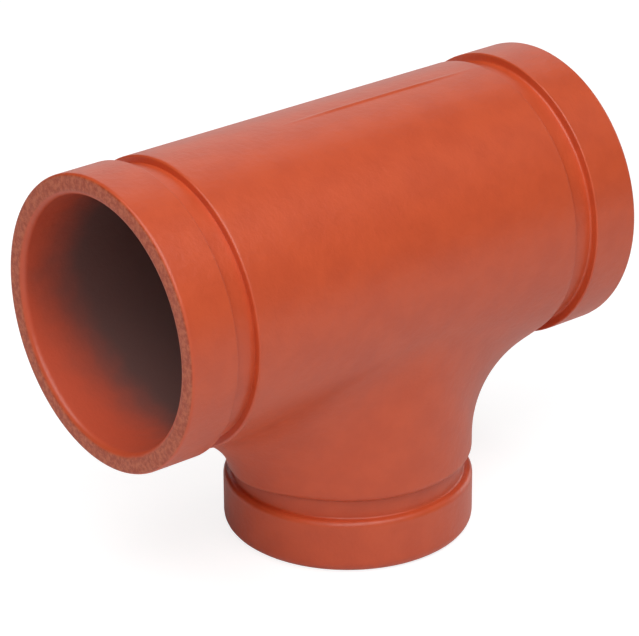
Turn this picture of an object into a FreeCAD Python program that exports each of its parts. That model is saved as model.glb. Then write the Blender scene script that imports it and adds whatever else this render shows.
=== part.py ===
# Grooved reducing tee: one painted iron casting with three grooved ends.
# The run lies along X and the branch points down, so the tee stands on its
# branch. The origin is the centre of that end face. Sizes are in millimetres.

import FreeCAD, Part
import math
import os

# Run: its pipe's outside diameter, the gasket seat and groove of each end,
# how far the body between the grooves is set in from the seats, and the wall
RUN_OD = 88.9
RUN_SEAT = 15.88
RUN_GROOVE_WIDTH = 7.95
RUN_GROOVE_DEPTH = 2.8
RUN_BODY_STEP = 0.55
RUN_WALL = 6.4

# Branch: the same for the smaller pipe
BRANCH_OD = 76.8
BRANCH_SEAT = 17.1
BRANCH_GROOVE_WIDTH = 6.2
BRANCH_GROOVE_DEPTH = 2.8
BRANCH_BODY_STEP = 0.3
BRANCH_WALL = 6.4

# Centre lines: the branch's axis to each end face of the run, and its height
LEFT_ARM = 91.7
RIGHT_ARM = 76.5
BRANCH_HEIGHT = 91.5

# Crotch blends, outside and round the waterway
CROTCH_RADIUS = 36.0
WATERWAY_CROTCH_RADIUS = 22.0

# Small radii of the grooved ends
RUN_BODY_LIP_RADIUS = 1.2
BRANCH_BODY_LIP_RADIUS = 2.4
RUN_SEAT_LIP_RADIUS = 1.0
BRANCH_SEAT_LIP_RADIUS = 1.8
GROOVE_FLOOR_RADIUS = 0.7
RUN_RIM_RADIUS = 1.0
BRANCH_RIM_RADIUS = 3.2
MOUTH_RADIUS = 2.0

# How far a neck runs on inside the body that carries it
NECK_ROOT = 3.0
SAME_PLACE = 0.001

NODE = "tee_casting"
ORIGIN = FreeCAD.Vector(0, 0, 0)
RIGHT = FreeCAD.Vector(1, 0, 0)
UP = FreeCAD.Vector(0, 0, 1)
LEFT_FACE = RIGHT * -LEFT_ARM + UP * BRANCH_HEIGHT
RIGHT_FACE = RIGHT * RIGHT_ARM + UP * BRANCH_HEIGHT
BRANCH_FACE = ORIGIN


def crossed_bars(run_radius, branch_radius, crotch_radius):
    """Run and branch as round bars, blended all the way round where they cross."""
    run = Part.makeCylinder(run_radius, LEFT_ARM + RIGHT_ARM, LEFT_FACE, RIGHT)
    branch = Part.makeCylinder(branch_radius, BRANCH_HEIGHT, BRANCH_FACE, UP)
    bars = run.fuse(branch).removeSplitter()
    straight_or_round = (Part.Line, Part.Circle)
    saddle = [edge for edge in bars.Edges if not isinstance(edge.Curve, straight_or_round)]
    return bars.makeFillet(crotch_radius, saddle)


def body_edge_on_plane(body, point, normal):
    """Edges of the body's flat end on the plane through point."""
    def height(place):
        return abs((place - point).dot(normal))

    edges = []
    for edge in body.Edges:
        first, last = edge.ParameterRange
        places = [edge.valueAt(first), edge.valueAt((first + last) / 2), edge.valueAt(last)]
        if max(height(place) for place in places) < SAME_PLACE:
            edges.append(edge)
    return edges


def cut_back(body, face, inward, depth, lip_radius):
    """Body ended square at a depth behind one end face, with its edge rounded."""
    wide_enough = RUN_OD + CROTCH_RADIUS
    end_piece = Part.makeCylinder(wide_enough, depth, face, inward)
    shortened = body.cut(end_piece)
    end_edge = body_edge_on_plane(shortened, face + inward * depth, inward)
    return shortened.makeFillet(lip_radius, end_edge)


def rounded_outline(corners):
    """Closed wire in the XZ plane through right-angled (x, z, radius) corners."""
    points = [FreeCAD.Vector(x, 0, z) for x, z, radius in corners]
    edges = []
    for index, (x, z, radius) in enumerate(corners):
        corner = points[index]
        back = (points[index - 1] - corner).normalize()
        onward = (points[(index + 1) % len(points)] - corner).normalize()
        next_radius = corners[(index + 1) % len(corners)][2]
        arc_start = corner + back * radius
        arc_end = corner + onward * radius
        if radius > 0:
            arc_middle = corner + (back + onward) * (radius * (1 - math.sqrt(0.5)))
            edges.append(Part.Arc(arc_start, arc_middle, arc_end).toShape())
        side_end = points[(index + 1) % len(points)] - onward * next_radius
        edges.append(Part.makeLine(arc_end, side_end))
    return Part.Wire(edges)


def grooved_end(seat_radius, groove_depth, seat, groove_width, lip_radius, rim_radius):
    """Gasket seat and neck turned about Z, with the end face on the XY plane."""
    neck_radius = seat_radius - groove_depth
    root = seat + groove_width + NECK_ROOT
    outline = rounded_outline([
        (0, 0, 0),
        (seat_radius, 0, rim_radius),
        (seat_radius, seat, lip_radius),
        (neck_radius, seat, GROOVE_FLOOR_RADIUS),
        (neck_radius, root, 0),
        (0, root, 0),
    ])
    return Part.Face(outline).revolve(ORIGIN, UP, 360)


def placed(shape, face, inward):
    """Shape moved so that its XY plane is an end face and its +Z points inward."""
    moved = shape.copy()
    moved.Placement = FreeCAD.Placement(face, FreeCAD.Rotation(UP, inward))
    return moved


def mouth_edges(casting, face, bore_radius):
    """Circular edge of the waterway on one end face."""
    edges = []
    for edge in casting.Edges:
        curve = edge.Curve
        if isinstance(curve, Part.Circle) and abs(curve.Radius - bore_radius) < SAME_PLACE:
            if curve.Center.distanceToPoint(face) < SAME_PLACE:
                edges.append(edge)
    return edges


def tee_casting():
    """Blended body, three grooved ends on it, and the waterway through them all."""
    run_radius = RUN_OD / 2
    branch_radius = BRANCH_OD / 2
    body = crossed_bars(run_radius - RUN_BODY_STEP, branch_radius - BRANCH_BODY_STEP, CROTCH_RADIUS)
    run_edge = RUN_SEAT + RUN_GROOVE_WIDTH
    branch_edge = BRANCH_SEAT + BRANCH_GROOVE_WIDTH
    body = cut_back(body, LEFT_FACE, RIGHT, run_edge, RUN_BODY_LIP_RADIUS)
    body = cut_back(body, RIGHT_FACE, RIGHT * -1, run_edge, RUN_BODY_LIP_RADIUS)
    body = cut_back(body, BRANCH_FACE, UP, branch_edge, BRANCH_BODY_LIP_RADIUS)

    run_end = grooved_end(
        run_radius, RUN_GROOVE_DEPTH, RUN_SEAT, RUN_GROOVE_WIDTH,
        RUN_SEAT_LIP_RADIUS, RUN_RIM_RADIUS,
    )
    branch_end = grooved_end(
        branch_radius, BRANCH_GROOVE_DEPTH, BRANCH_SEAT, BRANCH_GROOVE_WIDTH,
        BRANCH_SEAT_LIP_RADIUS, BRANCH_RIM_RADIUS,
    )
    ends = [
        placed(run_end, LEFT_FACE, RIGHT),
        placed(run_end, RIGHT_FACE, RIGHT * -1),
        placed(branch_end, BRANCH_FACE, UP),
    ]

    run_bore = run_radius - RUN_WALL
    branch_bore = branch_radius - BRANCH_WALL
    waterway = crossed_bars(run_bore, branch_bore, WATERWAY_CROTCH_RADIUS)
    casting = body.fuse(ends).removeSplitter().cut(waterway)

    mouths = mouth_edges(casting, LEFT_FACE, run_bore)
    mouths += mouth_edges(casting, RIGHT_FACE, run_bore)
    mouths += mouth_edges(casting, BRANCH_FACE, branch_bore)
    return casting.makeFillet(MOUTH_RADIUS, mouths)


os.makedirs("parts", exist_ok=True)
tee_casting().exportStep("parts/" + NODE + ".step")
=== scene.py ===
import bpy
import math
import numpy as np
from mathutils import Matrix, Vector


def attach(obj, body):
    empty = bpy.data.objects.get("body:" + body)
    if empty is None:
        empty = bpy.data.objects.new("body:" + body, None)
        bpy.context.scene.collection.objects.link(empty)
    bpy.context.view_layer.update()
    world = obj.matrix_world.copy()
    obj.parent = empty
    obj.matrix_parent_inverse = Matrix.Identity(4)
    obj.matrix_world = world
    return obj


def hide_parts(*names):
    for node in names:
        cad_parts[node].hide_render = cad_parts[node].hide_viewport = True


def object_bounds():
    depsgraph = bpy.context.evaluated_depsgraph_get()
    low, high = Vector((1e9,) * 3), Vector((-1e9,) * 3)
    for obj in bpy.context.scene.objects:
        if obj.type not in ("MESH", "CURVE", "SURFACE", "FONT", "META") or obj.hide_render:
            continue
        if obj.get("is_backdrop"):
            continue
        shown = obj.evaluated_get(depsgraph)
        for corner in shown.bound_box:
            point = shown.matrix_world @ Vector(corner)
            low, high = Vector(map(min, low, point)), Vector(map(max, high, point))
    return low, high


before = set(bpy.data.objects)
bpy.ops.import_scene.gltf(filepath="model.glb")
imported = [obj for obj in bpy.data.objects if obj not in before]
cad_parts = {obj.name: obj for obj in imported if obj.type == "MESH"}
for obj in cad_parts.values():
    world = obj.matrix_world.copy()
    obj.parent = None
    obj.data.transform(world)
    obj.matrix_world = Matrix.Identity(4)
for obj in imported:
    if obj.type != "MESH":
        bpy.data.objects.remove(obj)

bl_info = {
    "name": "Grooved tee",
    "version": (1, 0, 0),
    "blender": (4, 5, 0),
    "location": "3D View > Sidebar > Tee",
    "description": "Skin, enamel and studio for a painted cast grooved reducing tee",
    "category": "Add Mesh",
}

# The tee stands on its branch. The origin is the centre of the branch's end face,
# +X runs along the run to its right arm, +Y to the back and +Z up the branch's axis.
CAD_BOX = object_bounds()
CASTING = "tee_casting"
SKIN = "tee_skin"
INSIDE = "inside"
MM = 0.001
RIGHT, BACK, UP = np.eye(3)
MIRROR = RIGHT - BACK + UP

# Size of the steps to which places are rounded to find those that are the same, and
# the least number that anything is divided by
SAME_PLACE = 0.0001 * MM
NEARLY_ZERO = 0.0001

# How finely the skin is divided. Columns run round the branch, and are counted over
# the blend at one end of the run and over the run's side between both ends. The bore
# has as many rows up its side as the outside has points from its bottom to the top.
ROUND_STEPS = 6
SHEET_ROWS = 64
COLUMNS_AT_END = 16
COLUMNS_AT_SIDE = 64
HALF_COLUMNS = 2 * COLUMNS_AT_END + COLUMNS_AT_SIDE
ROWS_TO_SEAM = 62
SEAM_ROWS = 8
BORE_SHEET_ROWS = 40
BORE_SIDE_ROWS = COLUMNS_AT_END + ROWS_TO_SEAM + SEAM_ROWS
TUBE_ROWS = 6

# A support row this far from a round keeps the side next to it flat. The next row past
# a rim or a mouth is two supports away from it, and the row before a mouth is three.
# On a narrow flat a support row stands at most a third of the way across.
SUPPORT = 0.1 * MM
PAST_ROUND = 2 * SUPPORT
BEFORE_MOUTH = 3 * SUPPORT
SHARE_OF_FLAT = 1 / 3

# Parting line along the top: its middle, half its length, and how long each end fades
SEAM_MIDDLE = 12.0 * MM
SEAM_REACH = 40.0 * MM
SEAM_FADE = 30.0 * MM

# Noise in the paint: size of its spots, how many times finer ones are added, and how
# strong those are. A contrast is the two noise values between which the colour changes.
CLOUDS = (9.0 * MM, 3.0, 0.5)
CLOUD_CONTRAST = (0.3, 0.7)
PORES = (1.8 * MM, 4.0, 0.7)
PORE_CONTRAST = (0.38, 0.62)
SAND = (2.4 * MM, 4.0, 0.6)
PAINT_EDGE = (7.0 * MM, 3.0, 0.5)
NOISE_MIDDLE = 0.5

# Depths behind an end face between which its thin paint gives way to the enamel
FACE_EDGE = (0.05 * MM, 0.3 * MM)

# Waterway: depth over which the outside's paint gives way to the waterway's, how far
# in the enamel reaches at the axis's height, how much further below and above it, how
# uneven that line is, and the depths from it between which the dry coating takes over
MOUTH_FADE = 2.0 * MM
PAINT_REACH = 11.0 * MM
PAINT_REACH_MORE = 10.0 * MM
PAINT_REACH_UNEVEN = 8.0 * MM
DRY_COATING = (-14.0 * MM, 11.0 * MM)

# Camera: width of its sensor in millimetres, nearest distance and the point it looks at
SENSOR_WIDTH = 36.0
NEAREST = 0.01
CAMERA_AIM = (-14.923 * MM, -4.976 * MM, 73.027 * MM)

# Lamps: azimuth and elevation in degrees and power in watts, then what all share, which
# is their diameter, their distance and the height that they face
LAMPS = (
    (0, 62, 10.4),
    (-90, 62, 8.6),
    (-45, 38, 8.4),
    (90, 12, 5.3),
    (147, 12, 1.9),
    (136, 40, 2.2),
    (0, 12, 1.1),
)
LAMP_SIZE = 0.9
LAMP_DISTANCE = 1.6
LAMPS_AIM_AT = 0.08

# Floor: half its width, its own grey, the glow that gloss sees in it, and the grey and
# glow that only the camera sees
FLOOR_HALF = 4.0
FLOOR_GREY = 0.8
FLOOR_GLOSS_GLOW = 0.08
FLOOR_SEEN_GREY = 0.36
FLOOR_SEEN_GLOW = 0.82


def length_property(name, description, default_mm):
    """A length in metres whose default is given in millimetres."""
    return bpy.props.FloatProperty(
        name=name, description=description, default=default_mm * MM, precision=5, unit="LENGTH"
    )


def angle_property(name, description, default_degrees):
    """An angle in radians whose default is given in degrees."""
    return bpy.props.FloatProperty(
        name=name, description=description, default=math.radians(default_degrees), subtype="ANGLE"
    )


def colour_property(name, description, default):
    """A linear colour."""
    return bpy.props.FloatVectorProperty(
        name=name, description=description, default=default, size=3, min=0, max=1, subtype="COLOR"
    )


def factor_property(name, description, default):
    """A plain number from zero to one."""
    return bpy.props.FloatProperty(
        name=name, description=description, default=default, min=0, max=1, subtype="FACTOR"
    )


class TeeSizes(bpy.types.PropertyGroup):
    """Sizes of the casting: the solid's, apart from the run's sharper lips and the seam."""

    run_od: length_property("Run diameter", "Outside diameter of the run's gasket seats", 88.9)
    run_seat: length_property("Run seat", "Length of each gasket seat of the run", 15.88)
    run_groove: length_property("Run groove", "Width of each groove of the run", 7.95)
    run_groove_depth: length_property("Run groove depth", "Depth below the seat", 2.8)
    run_body_step: length_property("Run body step", "How far the body is set in", 0.55)
    run_wall: length_property("Run wall", "Wall of the run at its end faces", 6.4)
    branch_od: length_property("Branch diameter", "Outside diameter of the branch's seat", 76.8)
    branch_seat: length_property("Branch seat", "Length of the branch's gasket seat", 17.1)
    branch_groove: length_property("Branch groove", "Width of the branch's groove", 6.2)
    branch_groove_depth: length_property("Branch groove depth", "Depth below the seat", 2.8)
    branch_body_step: length_property("Branch body step", "How far the body is set in", 0.3)
    branch_wall: length_property("Branch wall", "Wall of the branch at its end face", 6.4)
    left_arm: length_property("Left arm", "Branch's axis to the left end face", 91.7)
    right_arm: length_property("Right arm", "Branch's axis to the right end face", 76.5)
    height: length_property("Branch height", "Run's axis to the branch's end face", 91.5)
    crotch: length_property("Crotch radius", "Outside blend between run and branch", 36.0)
    inner_crotch: length_property("Waterway crotch radius", "Blend inside", 22.0)
    left_body_lip: length_property("Left body lip", "Round of the body at the groove", 0.7)
    right_body_lip: length_property("Right body lip", "Round of the body at the groove", 0.3)
    branch_body_lip: length_property("Branch body lip", "Round of the body at the groove", 2.4)
    left_seat_lip: length_property("Left seat lip", "Round of the seat at its groove", 0.3)
    right_seat_lip: length_property("Right seat lip", "Round of the seat at its groove", 0.5)
    branch_seat_lip: length_property("Branch seat lip", "Round of the seat at its groove", 1.8)
    groove_floor: length_property("Groove floor radius", "Inner corner by the seat", 0.7)
    run_rim: length_property("Run rim radius", "Outer round of the run's faces", 1.0)
    branch_rim: length_property("Branch rim radius", "Outer round of the branch's face", 3.2)
    mouth: length_property("Mouth radius", "Inner round of the end faces", 2.0)
    seam: length_property("Seam height", "Of the parting line along the top", 0.42)
    seam_half: length_property("Seam half width", "From its crest to its foot", 1.2)


class TeeFinish(bpy.types.PropertyGroup):
    """Colours and gloss of the enamel, and the dry coating in the waterway."""

    paint: colour_property("Paint", "Enamel colour", (0.625, 0.088, 0.025))
    paint_deep: colour_property("Deep paint", "Enamel where it lies thicker", (0.58, 0.078, 0.022))
    face: colour_property("End face", "Thin paint on the end faces", (0.56, 0.125, 0.050))
    face_dark: colour_property("Dark end face", "Pores of the end faces", (0.40, 0.050, 0.012))
    # Enamel just inside the end faces: the same enamel, painted a little brighter than the outside's
    # as a painted highlight for light falling in through the mouth
    mouth: colour_property("Mouth", "Enamel just inside the end faces", (0.66, 0.098, 0.044))
    bore: colour_property("Bore", "Dry coating down the waterway", (0.165, 0.082, 0.072))
    roughness: factor_property("Roughness", "Of the enamel", 0.45)
    gloss: factor_property("Gloss", "Weight of the enamel's smooth skin", 0.22)
    gloss_roughness: factor_property("Gloss roughness", "Of the smooth skin", 0.34)
    sand_height: length_property("Sand height", "Fine roughness left by the sand mould", 0.2)


class TeeStage(bpy.types.PropertyGroup):
    """Where the camera stands and its lens."""

    azimuth: angle_property("Camera azimuth", "Round the object from the front", -38.988)
    elevation: angle_property("Camera elevation", "Above the horizon", 24.645)
    roll: angle_property("Camera roll", "About the line of sight", -0.317)
    distance: length_property("Camera distance", "From the point it aims at", 1011.2)
    lens: bpy.props.FloatProperty(
        name="Focal length", description="Of the camera's lens", default=191.19, min=1, unit="CAMERA"
    )


def unit(vectors):
    """Vectors at length one."""
    return vectors / np.linalg.norm(vectors, axis=-1, keepdims=True)


def angle_between(first, last):
    """Angle in radians between unit directions."""
    return np.arccos(np.clip((first * last).sum(axis=-1), -1.0, 1.0))


def directions_between(first, last, turn, whole):
    """Unit directions turned by an angle out of the whole angle from first to last."""
    near = np.sin(whole - turn) / np.sin(whole)
    far = np.sin(turn) / np.sin(whole)
    return near[..., None] * first + far[..., None] * last


def both_sides(angles):
    """Angles from zero to half a turn, and on round the far side towards a whole turn."""
    return np.concatenate([angles, 2 * math.pi - angles[-2:0:-1]])


def crotch_sheet(angles, rows, run, branch, blend, height, floor, walls, lips):
    """Side of the branch, then the blend up to the run or to a flat end.

    A ball of the blend's radius rolls in the corner between the two bars. At each
    angle round the branch its centre is branch + blend from the branch's axis and
    run + blend from the run's axis. The sheet follows the branch straight up to the
    ball's touching point and then the ball's arc over to the run.

    Floor is the height of the branch's flat end, and walls are the distances of the
    run's left and right flat ends from the branch's axis. Lips are the rounds there:
    the floor's, and a pair for the walls. A lip's centre is blend + lip from the
    ball's centre and one lip behind the flat end, so the sheet starts where the
    floor's lip touches it, and where the arc would pass a wall it stops where that
    wall's lip touches it. The answer is the sheet and its outward normals along its
    first and last row.
    """
    floor_lip, wall_lips = lips
    cosine, sine = np.cos(angles), np.sin(angles)
    reach = branch + blend
    centre_z = height - np.sqrt((run + blend) ** 2 - (reach * sine) ** 2)
    centre = np.stack([reach * cosine, reach * sine, centre_z], axis=-1)
    to_branch = np.stack([-cosine, -sine, 0 * cosine], axis=-1)
    to_run = np.stack([0 * cosine, -reach * sine, height - centre_z], axis=-1) / (run + blend)
    whole = angle_between(to_branch, to_run)
    start_z = floor + floor_lip
    rise = np.clip(start_z - centre_z, 0, None)
    first_turn = np.arcsin(rise * np.sin(whole) / ((blend + floor_lip) * to_run[:, 2]))
    wall_lip = np.where(cosine > 0, wall_lips[1], wall_lips[0])
    wall = np.where(cosine > 0, walls[1], walls[0]) - wall_lip
    excess = np.clip(np.abs(centre[:, 0]) - wall, 0, None)
    across = np.maximum(np.abs(cosine), NEARLY_ZERO)
    last_sine = excess * np.sin(whole) / ((blend + wall_lip) * across)
    last_turn = whole - np.arcsin(np.clip(last_sine, 0, 1))
    straight = np.clip(centre_z - start_z, 0, None)
    total = straight + blend * (last_turn - first_turn)
    along = np.linspace(0, 1, rows + 1)[:, None] * total
    turn = first_turn + np.clip(along - straight, 0, None) / blend
    sheet = centre + blend * directions_between(to_branch, to_run, turn, whole)
    sheet[..., 2] -= np.clip(straight - along, 0, None)
    first_normal = -directions_between(to_branch, to_run, first_turn, whole)
    last_normal = -directions_between(to_branch, to_run, last_turn, whole)
    return sheet, first_normal, last_normal


def crotch_angles(walls, lips, reach):
    """Angles round the branch from right to left, with a column where each end begins.

    The ball's centre is level with the centre of a wall's lip at the angle whose cosine
    is the wall's distance less its lip, divided by the reach of the ball's centre.
    """
    right_corner = math.acos((walls[1] - lips[1]) / reach)
    left_corner = math.pi - math.acos((walls[0] - lips[0]) / reach)
    return np.concatenate([
        np.linspace(0, right_corner, COLUMNS_AT_END + 1)[:-1],
        np.linspace(right_corner, left_corner, COLUMNS_AT_SIDE + 1)[:-1],
        np.linspace(left_corner, math.pi, COLUMNS_AT_END + 1),
    ])


def seam_height(x, turn, foot, height):
    """Height of the parting line above the run's body.

    Across the line it is the squared cosine from the crest at the top to the foot.
    Along it the height is whole in the middle and fades to both ends by a smooth step.
    """
    crest = np.cos((math.pi - turn) / (math.pi - foot) * math.pi / 2) ** 2
    ends = np.clip((SEAM_REACH - np.abs(x - SEAM_MIDDLE)) / SEAM_FADE, 0, 1)
    return height * np.where(turn > foot, crest, 0) * ends * ends * (3 - 2 * ends)


def run_side(angles, run, branch, blend, height, rows, foot=math.pi, seam_rows=0, seam=0.0):
    """Round side of the run, from the blend's upper edge to the top line.

    At each angle round the branch the ball touches the run at x = (branch + blend) times
    the angle's cosine, turned from straight down by the arcsine of (branch + blend)
    times its sine over run + blend. From there equal turns about the run's axis lead to
    the foot of the parting line, and from its foot over it to the top.
    """
    reach = branch + blend
    low = np.arcsin(reach * np.sin(angles) / (run + blend))
    rising = low + (foot - low) * np.linspace(0, 1, rows + 1)[:, None]
    crossing = np.linspace(foot, math.pi, seam_rows + 1)[1:, None] + 0 * low
    turn = np.concatenate([rising, crossing])
    x = np.broadcast_to(reach * np.cos(angles), turn.shape)
    radius = run + seam_height(x, turn, foot, seam) if seam_rows else run
    return np.stack([x, radius * np.sin(turn), height - radius * np.cos(turn)], axis=-1)


def lip_rows(contact, normal, radius, facing):
    """Round that turns from a surface's normal to the way a flat end faces."""
    centre = contact - radius * normal
    whole = angle_between(normal, facing)
    turn = np.linspace(0, 1, ROUND_STEPS + 1)[1:, None] * whole
    return centre + radius * directions_between(normal, facing, turn, whole)


def rounded_profile(corners):
    """Points (radius, depth) along straight sides that meet in rounded right angles.

    Each corner is (radius, depth, round). A round is a quarter circle about the point
    that is one round in from both sides, with a support point just before and after.
    """
    corners = np.array(corners)
    points, rounds = corners[:, :2], corners[:, 2]
    profile = [points[:1], points[:1] + SUPPORT * unit(points[1:2] - points[:1])]
    for before, corner, after, radius in zip(points, points[1:], points[2:], rounds[1:]):
        back, onward = unit(before - corner), unit(after - corner)
        turn = np.linspace(0, math.pi / 2, ROUND_STEPS + 1)[:, None]
        centre = corner + (back + onward) * radius
        arc = centre - radius * (np.cos(turn) * onward + np.sin(turn) * back)
        profile += [arc[:1] + SUPPORT * back, arc, arc[-1:] + SUPPORT * onward]
    return np.concatenate(profile + [points[-1:]])


class Bar:
    """Run or branch: its radii, and the depths of its groove behind an end face."""

    def __init__(self, diameter, body_step, groove_depth, wall, seat, groove):
        self.outside = diameter / 2
        self.body = self.outside - body_step
        self.neck = self.outside - groove_depth
        self.bore = self.outside - wall
        self.seat = seat
        self.edge = seat + groove


def end_profiles(bar, sizes, lip, rim, bore_end):
    """Outside and waterway of one end as points (radius, depth).

    The outside runs from the body's flat end along the neck, up the seat's wall, along
    the seat and round the rim onto the end face. The floor's round, the lip and two
    supports have to fit in the groove's depth. The waterway runs from the end face
    round the mouth and on down the bore to its end.
    """
    outer = rounded_profile([
        (bar.neck, bar.edge, 0), (bar.neck, bar.seat, sizes.groove_floor),
        (bar.outside, bar.seat, lip), (bar.outside, 0, rim),
        (bar.outside - rim - PAST_ROUND, 0, 0),
    ])
    mouth_end = sizes.mouth + PAST_ROUND
    inner = rounded_profile([
        (bar.bore + sizes.mouth + BEFORE_MOUTH, 0, 0), (bar.bore, 0, sizes.mouth),
        (bar.bore, mouth_end, 0),
    ])
    depths = np.linspace(mouth_end, bore_end, TUBE_ROWS + 1)[1:]
    tube = np.stack([np.full(len(depths), bar.bore), depths], axis=-1)
    return outer, np.concatenate([inner, tube]) if bore_end > mouth_end else inner


class MeshBuilder:
    """Collects grids of points and joins them into one mesh."""

    def __init__(self):
        self.points, self.inside, self.quads, self.count = [], [], [], 0

    def grid(self, rows, closed=False, flip=False, inside=0.0):
        """Adds a grid of rows by columns by xyz; closed joins the last column to the first.

        Inside is 1 in the waterway and 0 outside, as one number or one for each row.
        """
        if closed:
            rows = np.concatenate([rows, rows[:, :1]], axis=1)
        self.inside.append(np.broadcast_to(np.reshape(inside, (-1, 1)), rows.shape[:2]).ravel())
        height, width = rows.shape[:2]
        index = self.count + np.arange(height * width).reshape(height, width)
        quads = np.stack([index[:-1, :-1], index[:-1, 1:], index[1:, 1:], index[1:, :-1]], axis=-1)
        quads = quads.reshape(-1, 4)
        self.quads.append(quads[:, ::-1] if flip else quads)
        self.points.append(rows.reshape(-1, 3))
        self.count += height * width

    def object(self, name):
        """One closed object of all grids.

        Points at the same place become one. A quad whose neighbouring corners fall
        together is left out. It was a line without area, because any other would leave
        open edges, and those raise an error.
        """
        points = np.concatenate(self.points)
        quads = np.concatenate(self.quads)
        keys = np.round(points / SAME_PLACE).astype(np.int64)
        first, inverse = np.unique(keys, axis=0, return_index=True, return_inverse=True)[1:]
        points, quads = points[first], inverse.reshape(-1)[quads]
        quads = quads[(quads != np.roll(quads, 1, axis=1)).all(axis=1)]
        mesh = bpy.data.meshes.new(name)
        mesh.vertices.add(len(points))
        mesh.vertices.foreach_set("co", points.ravel())
        mesh.loops.add(quads.size)
        mesh.loops.foreach_set("vertex_index", quads.ravel())
        mesh.polygons.add(len(quads))
        mesh.polygons.foreach_set("loop_start", np.arange(0, quads.size, 4))
        mesh.update(calc_edges=True)
        if mesh.validate() or open_edge_count(mesh):
            raise RuntimeError("The surface of %s isn't closed" % name)
        mesh.shade_smooth()
        attribute = mesh.attributes.new(INSIDE, "FLOAT", "POINT")
        attribute.data.foreach_set("value", np.concatenate(self.inside)[first].astype(np.float32))
        made = bpy.data.objects.new(name, mesh)
        bpy.context.scene.collection.objects.link(made)
        return made


def open_edge_count(mesh):
    """How many edges don't join exactly two faces."""
    edges = np.empty(len(mesh.loops), dtype=np.int32)
    mesh.loops.foreach_get("edge_index", edges)
    return int((np.bincount(edges, minlength=len(mesh.edges)) != 2).sum())


class EndFace:
    """One grooved end: where its face is, which way is inward and where angles start."""

    def __init__(self, face, inward, start):
        self.face, self.inward, self.start = face, inward, start

    def places(self, radius, depth, angles):
        """Places at a radius, a depth behind the face and an angle from the start."""
        radius, depth, angles = np.broadcast_arrays(radius, depth, angles)
        ring = np.cos(angles)[..., None] * self.start + np.sin(angles)[..., None] * BACK
        return self.face + depth[..., None] * self.inward + radius[..., None] * ring

    def angles(self, places):
        """Angle of each place from the start, by way of the back."""
        offset = places - self.face
        return np.arctan2(offset @ BACK, offset @ self.start)


def add_end(builder, end, contact, normal, lip, profiles, inner_angles, flip):
    """Body lip, groove, gasket seat, end face, mouth and straight bore of one end.

    The body's edge turns over a lip to its flat end, which runs in to the neck.
    From there the profiles of radius and depth are turned about the axis. The end
    face joins the angles of the outside to those of the bore.
    """
    outer, inner = profiles
    edge = lip_rows(contact, normal, lip, -end.inward)
    flat = edge[-1]
    angles = end.angles(flat)
    neck = end.places(outer[0, 0], outer[0, 1], angles)
    across = neck - flat
    width = np.linalg.norm(across, axis=-1, keepdims=True)
    step = across * np.minimum(SUPPORT / width, SHARE_OF_FLAT)
    body_end = np.stack([contact, *edge, flat + step, neck - step, neck])
    builder.grid(body_end, closed=True, flip=flip)
    outside = end.places(outer[:, :1], outer[:, 1:], angles)
    waterway = end.places(inner[:, :1], inner[:, 1:], inner_angles)
    depth_in = np.concatenate([np.zeros(len(outer)), inner[:, 1]])
    inside = np.clip(depth_in / MOUTH_FADE, 0, 1)
    turned = np.concatenate([outside, waterway])
    builder.grid(turned, closed=True, flip=flip, inside=inside)


def run_body_edge(sheet, sheet_normal, side, columns, side_column, height):
    """Edge of the run's body at one end and its normals, once round from the bottom.

    It follows the blend's last row, the side's column up to the top line, and the
    mirror image of both down the far side.
    """
    rising = side[1:, side_column]
    falling = rising[-2::-1] * MIRROR
    far_columns = (len(sheet[0]) - columns[:0:-1]) % len(sheet[0])
    contact = np.concatenate([sheet[-1, columns], rising, falling, sheet[-1, far_columns]])
    from_axis = (np.concatenate([rising, falling]) - height * UP) * (BACK + UP)
    normal = np.concatenate([sheet_normal[columns], unit(from_axis), sheet_normal[far_columns]])
    return contact, normal


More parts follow.
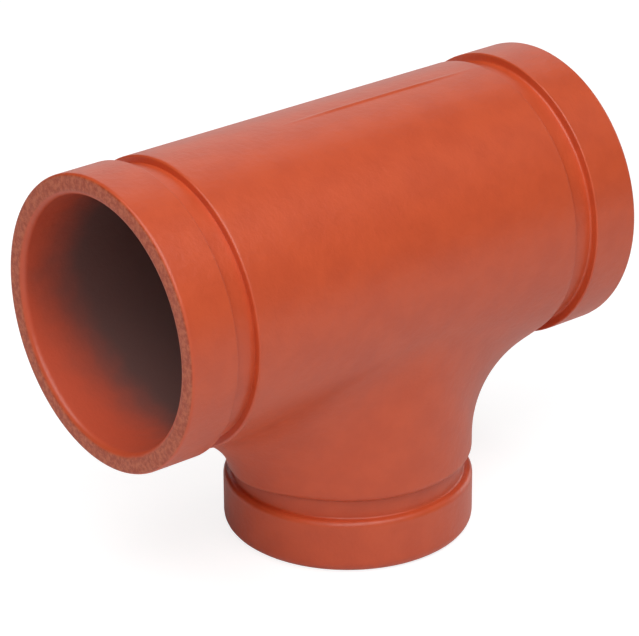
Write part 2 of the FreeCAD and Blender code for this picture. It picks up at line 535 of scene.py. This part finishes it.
def tee_surface(sizes):
    """All grids of the casting's surface.

    Outside and waterway have the same form at different radii: crotch_sheet for the
    branch and the blend, and run_side for the rest of the run, in front and behind.
    Where the outside stops, add_end goes on over a groove and its end face and into
    the waterway.
    """
    builder = MeshBuilder()
    run = Bar(
        sizes.run_od, sizes.run_body_step, sizes.run_groove_depth, sizes.run_wall,
        sizes.run_seat, sizes.run_groove,
    )
    branch = Bar(
        sizes.branch_od, sizes.branch_body_step, sizes.branch_groove_depth, sizes.branch_wall,
        sizes.branch_seat, sizes.branch_groove,
    )
    height = sizes.height
    walls = (sizes.left_arm - run.edge, sizes.right_arm - run.edge)
    wall_lips = (sizes.left_body_lip, sizes.right_body_lip)

    angles = crotch_angles(walls, wall_lips, branch.body + sizes.crotch)
    sheet, low_normal, high_normal = crotch_sheet(
        both_sides(angles), SHEET_ROWS, run.body, branch.body, sizes.crotch, height,
        branch.edge, walls, (sizes.branch_body_lip, wall_lips),
    )
    builder.grid(sheet, closed=True)
    side_angles = angles[COLUMNS_AT_END:COLUMNS_AT_END + COLUMNS_AT_SIDE + 1]
    seam_foot = math.pi - sizes.seam_half / run.body
    side = run_side(
        side_angles, run.body, branch.body, sizes.crotch, height, ROWS_TO_SEAM,
        seam_foot, SEAM_ROWS, sizes.seam,
    )
    builder.grid(side)
    builder.grid(side * MIRROR, flip=True)

    mouth_end = sizes.mouth + PAST_ROUND
    near_angles = np.linspace(0, math.pi, HALF_COLUMNS + 1)
    bore_angles = both_sides(near_angles)
    bore_sheet = crotch_sheet(
        bore_angles, BORE_SHEET_ROWS, run.bore, branch.bore, sizes.inner_crotch, height,
        mouth_end, (math.inf, math.inf), (0.0, (0.0, 0.0)),
    )[0]
    builder.grid(bore_sheet, closed=True, flip=True, inside=1.0)
    bore_side = run_side(
        near_angles, run.bore, branch.bore, sizes.inner_crotch, height, BORE_SIDE_ROWS
    )
    builder.grid(bore_side, flip=True, inside=1.0)
    builder.grid(bore_side * MIRROR, inside=1.0)

    profiles = end_profiles(branch, sizes, sizes.branch_seat_lip, sizes.branch_rim, mouth_end)
    add_end(
        builder, EndFace(0 * UP, UP, RIGHT), sheet[0], low_normal, sizes.branch_body_lip,
        profiles, bore_angles, flip=True,
    )

    from_bottom = np.arange(COLUMNS_AT_END + 1)
    tube_angles = both_sides(np.linspace(0, math.pi, BORE_SIDE_ROWS + 1))
    run_ends = (
        (RIGHT, sizes.right_arm, sizes.right_body_lip, sizes.right_seat_lip,
         from_bottom, 0, False),
        (-RIGHT, sizes.left_arm, sizes.left_body_lip, sizes.left_seat_lip,
         HALF_COLUMNS - from_bottom, -1, True),
    )
    for outward, arm, body_lip, seat_lip, columns, side_column, flip in run_ends:
        contact, normal = run_body_edge(sheet, high_normal, side, columns, side_column, height)
        bore_end = arm - branch.bore - sizes.inner_crotch
        profiles = end_profiles(run, sizes, seat_lip, sizes.run_rim, bore_end)
        end = EndFace(arm * outward + height * UP, -outward, -UP)
        add_end(builder, end, contact, normal, body_lip, profiles, tube_angles, flip)
    return builder


# Sockets of a Mix node that is set to mix colours
MIX_FACTOR, MIX_FIRST, MIX_SECOND, MIX_RESULT = 0, 6, 7, 2


class Shade:
    """A socket of one material's node tree, with operators that add Math nodes."""

    def __init__(self, tree, socket=None):
        self.tree, self.socket = tree, socket

    def feed(self, node, name):
        """Links this socket to a node's input, by its name or number."""
        self.tree.links.new(self.socket, node.inputs[name])

    def node(self, kind, inputs, **settings):
        """Adds a node: its settings first, then its inputs by name or number."""
        made = self.tree.nodes.new(kind)
        for name, value in settings.items():
            setattr(made, name, value)
        for name, value in inputs.items():
            if isinstance(value, Shade):
                value.feed(made, name)
            else:
                made.inputs[name].default_value = value
        return made

    def output(self, kind, inputs, output=0, **settings):
        """One output of a new node."""
        return Shade(self.tree, self.node(kind, inputs, **settings).outputs[output])

    def math(self, operation, *values):
        """A Math node on values."""
        return self.output("ShaderNodeMath", dict(enumerate(values)), operation=operation)

    def __add__(self, other):
        return self.math("ADD", self, other)

    def __sub__(self, other):
        return self.math("SUBTRACT", self, other)

    def __rsub__(self, other):
        return self.math("SUBTRACT", other, self)

    def __mul__(self, other):
        return self.math("MULTIPLY", self, other)

    __radd__ = __add__
    __rmul__ = __mul__

    def ramp(self, low, high, start=0.0, end=1.0):
        """Smooth step from start at low to end at high."""
        inputs = {"Value": self, "From Min": low, "From Max": high, "To Min": start, "To Max": end}
        return self.output("ShaderNodeMapRange", inputs, interpolation_type="SMOOTHSTEP")

    def blend(self, first, second):
        """First colour where this value is 0 and second where it is 1."""
        inputs = {MIX_FACTOR: self, MIX_FIRST: first, MIX_SECOND: second}
        return self.output("ShaderNodeMix", inputs, MIX_RESULT, data_type="RGBA")


def four(colour):
    """A colour with its alpha."""
    return (*colour, 1.0)


def grey(level):
    """A grey with its alpha."""
    return four((level,) * 3)


def enamel_paint(finish, sizes):
    """Orange enamel on cast iron, thin and brown on the end faces, dark down the bore.

    The end faces are known by their places. In the waterway the enamel stops at a
    depth that grows away from the axis's height and wanders with noise. Past it lies
    the dry coating, which has no gloss.
    """
    material = bpy.data.materials.new("enamel_paint")
    material.use_nodes = True
    tree = material.node_tree
    principled = tree.nodes["Principled BSDF"]
    shade = Shade(tree)
    place = shade.output("ShaderNodeTexCoord", {}, "Object")
    parts = shade.node("ShaderNodeSeparateXYZ", {"Vector": place})
    x, z = Shade(tree, parts.outputs["X"]), Shade(tree, parts.outputs["Z"])
    inside = shade.output("ShaderNodeAttribute", {}, "Fac", attribute_name=INSIDE)

    def noise(size, detail, roughness):
        """Noise whose spots have a size in metres."""
        inputs = {"Vector": place, "Scale": 1 / size, "Detail": detail, "Roughness": roughness}
        return shade.output("ShaderNodeTexNoise", inputs)

    clouds = noise(*CLOUDS).ramp(*CLOUD_CONTRAST)
    enamel = clouds.blend(four(finish.paint), four(finish.paint_deep))
    pores = noise(*PORES).ramp(*PORE_CONTRAST)
    thin_paint = pores.blend(four(finish.face), four(finish.face_dark))
    left, right = x + sizes.left_arm, sizes.right_arm - x
    run_face = left.ramp(*FACE_EDGE, start=1, end=0) + right.ramp(*FACE_EDGE, start=1, end=0)
    face = (run_face + z.ramp(*FACE_EDGE, start=1, end=0)) * (1 - inside)
    outside = face.blend(enamel, thin_paint)

    bore_radius = sizes.run_od / 2 - sizes.run_wall
    off_axis = shade.math("ABSOLUTE", z - sizes.height) * (1 / bore_radius)
    further = PAINT_REACH_MORE * shade.math("MINIMUM", off_axis, 1.0)
    uneven = PAINT_REACH_UNEVEN * (noise(*PAINT_EDGE) - NOISE_MIDDLE)
    depth = shade.math("MINIMUM", shade.math("MINIMUM", left, right), z)
    dry = (depth - (PAINT_REACH + further + uneven)).ramp(*DRY_COATING)
    # Near the mouth the waterway's enamel is painted brighter as painted light falling in through
    # the mouth; past it lies the dry coating
    waterway = dry.blend(four(finish.mouth), four(finish.bore))

    inside.blend(outside, waterway).feed(principled, "Base Color")
    principled.inputs["Roughness"].default_value = finish.roughness
    wet = (1 - inside * dry) * (1 - face) * finish.gloss
    wet.feed(principled, "Coat Weight")
    principled.inputs["Coat Roughness"].default_value = finish.gloss_roughness
    bumps = {"Height": noise(*SAND), "Distance": finish.sand_height, "Strength": 1.0}
    shade.output("ShaderNodeBump", bumps).feed(principled, "Normal")
    return material


def floor_paper():
    """Matt paper that lights the object plainly and looks white to the camera."""
    material = bpy.data.materials.new("floor_paper")
    material.use_nodes = True
    tree = material.node_tree
    lit = tree.nodes["Principled BSDF"]
    seen = tree.nodes.new("ShaderNodeBsdfPrincipled")
    for shader, level in ((lit, FLOOR_GREY), (seen, FLOOR_SEEN_GREY)):
        shader.inputs["Base Color"].default_value = grey(level)
        shader.inputs["Roughness"].default_value = 1.0
        shader.inputs["Specular IOR Level"].default_value = 0.0
        shader.inputs["Emission Strength"].default_value = 1.0
    shade = Shade(tree)
    from_camera = shade.output("ShaderNodeLightPath", {}, "Is Camera Ray")
    from_gloss = shade.output("ShaderNodeLightPath", {}, "Is Glossy Ray")
    from_gloss.blend(grey(0.0), grey(FLOOR_GLOSS_GLOW)).feed(lit, "Emission Color")
    seen.inputs["Emission Color"].default_value = grey(FLOOR_SEEN_GLOW)
    shaders = {0: from_camera, 1: Shade(tree, lit.outputs[0]), 2: Shade(tree, seen.outputs[0])}
    both = shade.output("ShaderNodeMixShader", shaders)
    both.feed(tree.nodes["Material Output"], "Surface")
    return material


def direction(azimuth, elevation):
    """Unit vector out from the object, at an azimuth from the front and an elevation."""
    level = math.cos(elevation)
    return Vector((math.sin(azimuth) * level, -math.cos(azimuth) * level, math.sin(elevation)))


def add_camera(scene, stage):
    """Camera at an azimuth and elevation round the point it looks at."""
    back = direction(stage.azimuth, stage.elevation)
    across = (-back).cross(Vector(UP)).normalized()
    up = across.cross(-back)
    x_axis = math.cos(stage.roll) * across + math.sin(stage.roll) * up
    y_axis = math.cos(stage.roll) * up - math.sin(stage.roll) * across
    camera = bpy.data.cameras.new("camera")
    camera.lens = stage.lens
    camera.sensor_width = SENSOR_WIDTH
    camera.clip_start = NEAREST
    placed = bpy.data.objects.new("camera", camera)
    turn = Matrix((x_axis, y_axis, back)).transposed().to_4x4()
    placed.matrix_world = Matrix.Translation(Vector(CAMERA_AIM) + back * stage.distance) @ turn
    scene.collection.objects.link(placed)
    scene.camera = placed


def add_lamp(scene, azimuth, elevation, watts):
    """Round soft lamp that faces the object."""
    toward = direction(math.radians(azimuth), math.radians(elevation))
    light = bpy.data.lights.new("lamp", "AREA")
    light.shape = "DISK"
    light.size = LAMP_SIZE
    light.energy = watts
    placed = bpy.data.objects.new("lamp", light)
    turn = toward.to_track_quat("Z", "Y").to_matrix().to_4x4()
    middle = Vector((0, 0, LAMPS_AIM_AT))
    placed.matrix_world = Matrix.Translation(middle + toward * LAMP_DISTANCE) @ turn
    scene.collection.objects.link(placed)


def add_floor(scene):
    """Wide plain floor."""
    signs = ((-1, -1), (1, -1), (1, 1), (-1, 1))
    corners = [(x * FLOOR_HALF, y * FLOOR_HALF, 0) for x, y in signs]
    mesh = bpy.data.meshes.new("floor")
    mesh.from_pydata(corners, [], [(0, 1, 2, 3)])
    mesh.materials.append(floor_paper())
    floor = bpy.data.objects.new("floor", mesh)
    scene.collection.objects.link(floor)
    floor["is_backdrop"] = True


class TEE_OT_skin(bpy.types.Operator):
    """Makes the casting's skin from its sizes"""

    bl_idname = "tee.skin"
    bl_label = "Casting"

    def execute(self, context):
        """Builds the surface, puts it under the root body and hides the solid casting."""
        sizes = context.scene.tee_sizes
        skin = tee_surface(sizes).object(SKIN)
        skin.data.materials.append(enamel_paint(context.scene.tee_finish, sizes))
        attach(skin, "root")
        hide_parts(CASTING)
        return {"FINISHED"}


class TEE_OT_stage(bpy.types.Operator):
    """Makes the floor, the light and the camera"""

    bl_idname = "tee.stage"
    bl_label = "Stage"

    def execute(self, context):
        """Adds everything that isn't part of the object."""
        scene = context.scene
        scene.view_settings.view_transform = "Standard"
        add_camera(scene, scene.tee_stage)
        add_floor(scene)
        world = bpy.data.worlds.new("surroundings")
        scene.world = world
        world.use_nodes = True
        world.node_tree.nodes["Background"].inputs["Strength"].default_value = 0
        for azimuth, elevation, watts in LAMPS:
            add_lamp(scene, azimuth, elevation, watts)
        return {"FINISHED"}


class TEE_PT_panel(bpy.types.Panel):
    """Lists the steps that build the tee"""

    bl_label = "Grooved tee"
    bl_idname = "TEE_PT_panel"
    bl_space_type = "VIEW_3D"
    bl_region_type = "UI"
    bl_category = "Tee"

    def draw(self, context):
        """One button a step."""
        self.layout.operator("tee.skin")
        self.layout.operator("tee.stage")


CLASSES = (TeeSizes, TeeFinish, TeeStage, TEE_OT_skin, TEE_OT_stage, TEE_PT_panel)


def register():
    """Adds the classes and their settings to Blender."""
    for cls in CLASSES:
        bpy.utils.register_class(cls)
    bpy.types.Scene.tee_sizes = bpy.props.PointerProperty(type=TeeSizes)
    bpy.types.Scene.tee_finish = bpy.props.PointerProperty(type=TeeFinish)
    bpy.types.Scene.tee_stage = bpy.props.PointerProperty(type=TeeStage)


def unregister():
    """Takes them away again."""
    del bpy.types.Scene.tee_stage
    del bpy.types.Scene.tee_finish
    del bpy.types.Scene.tee_sizes
    for cls in reversed(CLASSES):
        bpy.utils.unregister_class(cls)


def main():
    """Runs every step in order and works out both boxes."""
    register()
    bpy.ops.tee.skin()
    bpy.ops.tee.stage()
    boxes = {"cad": CAD_BOX, "visual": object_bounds()}
    boxes = {name: [list(map(float, corner)) for corner in box] for name, box in boxes.items()}


if __name__ == "__main__":
    main()
